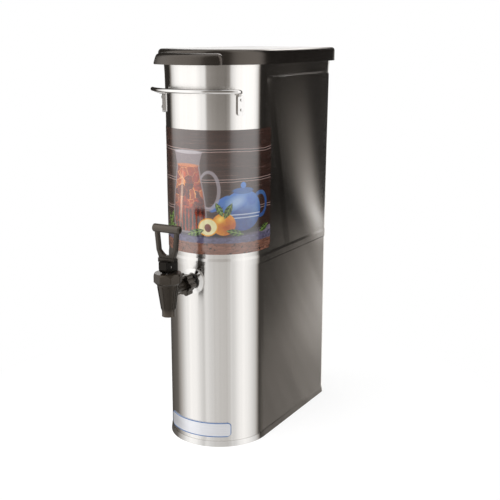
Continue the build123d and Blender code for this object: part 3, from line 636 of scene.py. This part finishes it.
def lower_glow(g, degrees, z):
    """A broad streaky glow for the lower side, rising towards the rear."""
    slant = g.add(g.mul(degrees, 0.55), g.mul(z, 34.0))
    slanting = g.node("CombineXYZ", None, X=slant, Y=g.mul(z, 3.0), Z=0.0)
    streaks = g.noise(slanting.outputs[0], 1.0, 3.0, 0.5, 0.3)
    rising = g.math("POWER", g.fit(degrees, 134.0, 154.0), g.fit(z, 0.0, 0.1, 0.9, 2.2))
    height = g.fit(z, -0.05, 0.25)
    base = g.ramp(height, [
        (0.0, 0.14), (0.1, 0.13), (0.22, 0.09), (0.35, 0.06), (0.48, 0.045), (0.7, 0.038), (1.0, 0.03)])
    gain = g.ramp(height, [
        (0.0, 0.07), (0.1, 0.1), (0.22, 0.26), (0.35, 0.42), (0.48, 0.5), (0.61, 0.42), (0.7, 0.34),
        (0.83, 0.24), (1.0, 0.12)])
    glow = g.add(base, g.mul(gain, rising))
    glow = g.mul(glow, g.fit(streaks, 0.3, 0.7, 0.68, 1.32))
    return g.mul(glow, g.fit(z, 0.27, 0.22))


def papered(g, wall, mask, light):
    """The wall with a paper of its own brightness over it, where the mask says."""
    return g.add(g.mul(wall, g.sub(1.0, mask)), g.mul(mask, light))


def studio_wall_look():
    """White softboxes with dark flags between them, laid out by compass angle and height."""
    g = Graph("studio_wall_look")
    x, y, z = g.axes()
    degrees = compass(g, x, y)
    upper = bands(
        g, degrees,
        (-180, 1.2), (-158, 1.1), (-154, 0.3), (-146, 0.08), (-120, 0.04), (-75, 0.03), (-70, 0.2),
        (-64, 0.75), (-54, 1.15), (-43, 1.36), (-10, 1.36), (-2, 1.15), (5, 1.0), (8, 0.5),
        (22, 0.35), (38, 0.31), (43, 0.5), (46, 0.9), (56, 1.25), (70, 1.38), (95, 1.34),
        (105, 0.9), (110, 0.3), (114, 0.03), (134, 0.018), (156, 0.02), (158, 1.1), (180, 1.2))
    lower = bands(
        g, degrees,
        (-180, 1.2), (-158, 1.1), (-152, 0.4), (-138, 0.15), (-120, 0.06), (-66, 0.16), (-58, 0.38),
        (-51, 0.56), (-38, 1.0), (-28, 1.22), (-16, 1.15), (-8, 0.9), (-3, 0.74), (2, 0.92),
        (8, 0.84), (14, 0.74), (26, 0.68), (38, 0.66), (44, 0.8), (50, 0.84), (58, 1.05), (68, 1.2),
        (78, 1.12), (90, 0.92), (100, 0.74), (106, 0.5), (113, 0.05), (136, 0.0), (156, 0.0),
        (159, 1.1), (180, 1.2))
    deepening = g.mul(g.fit(degrees, 5.0, 8.0), g.fit(degrees, 46.0, 43.0))
    upper = g.mul(upper, g.sub(1.0, g.mul(deepening, g.fit(z, 0.4, 0.56, 0.0, 0.42))))
    pattern = g.mix(g.fit(z, 0.2, 0.42), lower, upper)
    turning = g.mul(degrees, 0.35)
    uneven = g.node("TexNoise", {"noise_dimensions": "1D"}, W=turning, Scale=1.0, Detail=4.0)
    pattern = g.mul(pattern, g.fit(uneven.outputs["Fac"], 0.3, 0.7, 0.94, 1.06))
    # the right side's glows, and a dim even light for the left side
    glow = g.add(upper_glow(g, degrees, z), lower_glow(g, degrees, z))
    on_side = g.mul(g.fit(degrees, 114.0, 132.0), g.fit(degrees, 157.0, 155.0))
    left_light = g.mul(g.fit(degrees, -122.0, -140.0), 0.12)
    wall = g.add(g.add(pattern, left_light), g.mul(on_side, glow))
    # pale paper behind and above: the lid's top mirrors its left half, the side panel's rim its right
    left_half = g.mul(g.fit(degrees, -122.0, -132.0), g.fit(z, 0.555, 0.575))
    wall = papered(g, wall, left_half, 1.75)
    right_half = g.mul(g.fit(degrees, 156.0, 159.0), g.fit(z, 0.5, 0.56))
    wall = papered(g, wall, right_half, g.fit(z, 0.668, 0.7, 0.04, 5.5))
    # a low card at the left rear, which the tap's flat top mirrors
    card = g.mul(g.fit(degrees, -114.0, -120.0), g.fit(degrees, -144.0, -140.0))
    card = g.mul(card, g.mul(g.fit(z, 0.3, 0.34), g.fit(z, 0.52, 0.48)))
    wall = g.add(wall, g.mul(card, 1.6))
    g.tree.links.new(warm_light(g, wall), g.output.inputs[0])
    return g.material


wall_points = []
wall_faces = []
for index in range(wall_steps):
    angle = 2 * math.pi * index / wall_steps
    wall_x = wall_reach * math.sin(angle)
    wall_y = wall_centre_y - wall_reach * math.cos(angle)
    wall_points += [(wall_x, wall_y, wall_foot), (wall_x, wall_y, wall_top)]
    here, there = 2 * index, 2 * ((index + 1) % wall_steps)
    wall_faces.append((here, there, there + 1, here + 1))
studio_wall = flat_mesh("stage_studio_wall", wall_points, wall_faces)
studio_wall.data.materials.append(studio_wall_look())
studio_wall.visible_camera = False
studio_wall.visible_diffuse = False
studio_wall.visible_shadow = False
studio_wall.visible_transmission = False
studio_wall.visible_volume_scatter = False

# World: even soft light, and white for what the camera, metal and glass see past the floor
even_light = 0.62
world = bpy.data.worlds.new("studio")
bpy.context.scene.world = world
world.use_nodes = True
tree = world.node_tree
tree.nodes.clear()
path = tree.nodes.new("ShaderNodeLightPath")
direct = path.outputs["Is Camera Ray"]
for kind in ("Is Glossy Ray", "Is Transmission Ray"):
    either = tree.nodes.new("ShaderNodeMath")
    either.operation = "MAXIMUM"
    tree.links.new(direct, either.inputs[0])
    tree.links.new(path.outputs[kind], either.inputs[1])
    direct = either.outputs[0]
level = tree.nodes.new("ShaderNodeMapRange")
tree.links.new(direct, level.inputs[0])
level.inputs["To Min"].default_value = even_light
level.inputs["To Max"].default_value = 1.0
sky = tree.nodes.new("ShaderNodeBackground")
sky.inputs["Color"].default_value = plain_white
tree.links.new(level.outputs[0], sky.inputs[1])
out = tree.nodes.new("ShaderNodeOutputWorld")
tree.links.new(sky.outputs[0], out.inputs[0])


def soft_lamp(name, place, target, width, height, power):
    """A large area lamp aimed at a point."""
    data = bpy.data.lights.new(name, "AREA")
    data.shape = "RECTANGLE"
    data.size = width
    data.size_y = height
    data.energy = power
    made = bpy.data.objects.new(name, data)
    bpy.context.scene.collection.objects.link(made)
    made.location = place
    made.rotation_euler = (Vector(target) - Vector(place)).to_track_quat("-Z", "Y").to_euler()
    made.visible_glossy = False
    return made


object_middle = (0, 0, 0.3)
soft_lamp("top_soft", (-0.5, -1.0, 2.4), object_middle, 1.6, 1.6, 26.0)
soft_lamp("left_soft", (-2.0, -1.2, 1.1), object_middle, 1.4, 1.6, 16.0)

# Camera at the photograph's place
camera_place = (0.67277, -1.14462, 0.57315)
camera_downward = math.radians(13.137)
camera_turn = math.radians(29.363)
camera_data = bpy.data.cameras.new("camera")
camera_data.sensor_width = 36.0
camera_data.lens = 66.703
camera_data.clip_start = 0.05
camera_data.clip_end = 50.0
camera = bpy.data.objects.new("camera", camera_data)
bpy.context.scene.collection.objects.link(camera)
camera.location = camera_place
camera.rotation_euler = (math.radians(90) - camera_downward, 0.0, camera_turn)
bpy.context.scene.camera = camera

bpy.context.scene.view_settings.view_transform = "Standard"
